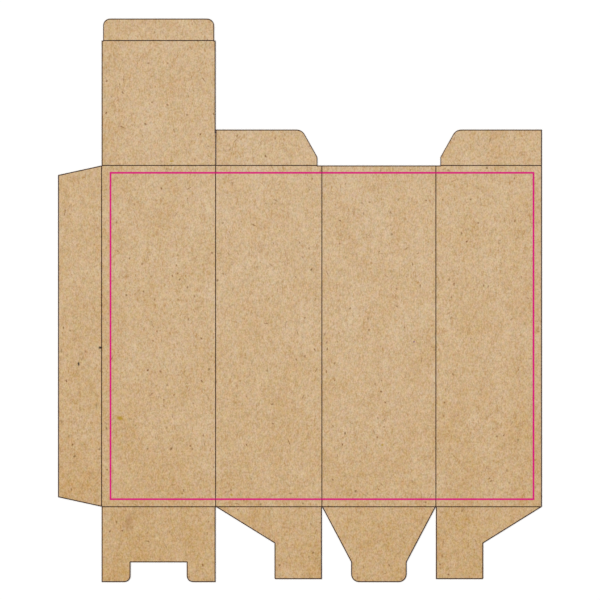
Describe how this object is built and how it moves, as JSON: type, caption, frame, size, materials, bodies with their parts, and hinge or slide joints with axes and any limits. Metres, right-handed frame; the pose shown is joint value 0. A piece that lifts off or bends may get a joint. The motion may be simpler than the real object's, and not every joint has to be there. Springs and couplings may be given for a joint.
{
  "type": "bottle gift box blank",
  "caption": "Flat die-cut and creased kraft board sheet that folds into a tall tuck-top bottle box with a glue flap, dust flaps and a tab-and-notch lock bottom.",
  "frame": {"origin": "centre of the sheet's bounding box on the surface that it lies on", "axes": "+X along the panels away from the glue flap, +Y up the box from the lock bottom to the lid, +Z out of the print side"},
  "size_m": [0.484, 0.5636, 0.0008],
  "materials": {
    "kraft_board": "matte"
  },
  "bodies": {
    "root": {"box_blank": "kraft_board"}
  },
  "joints": []
}
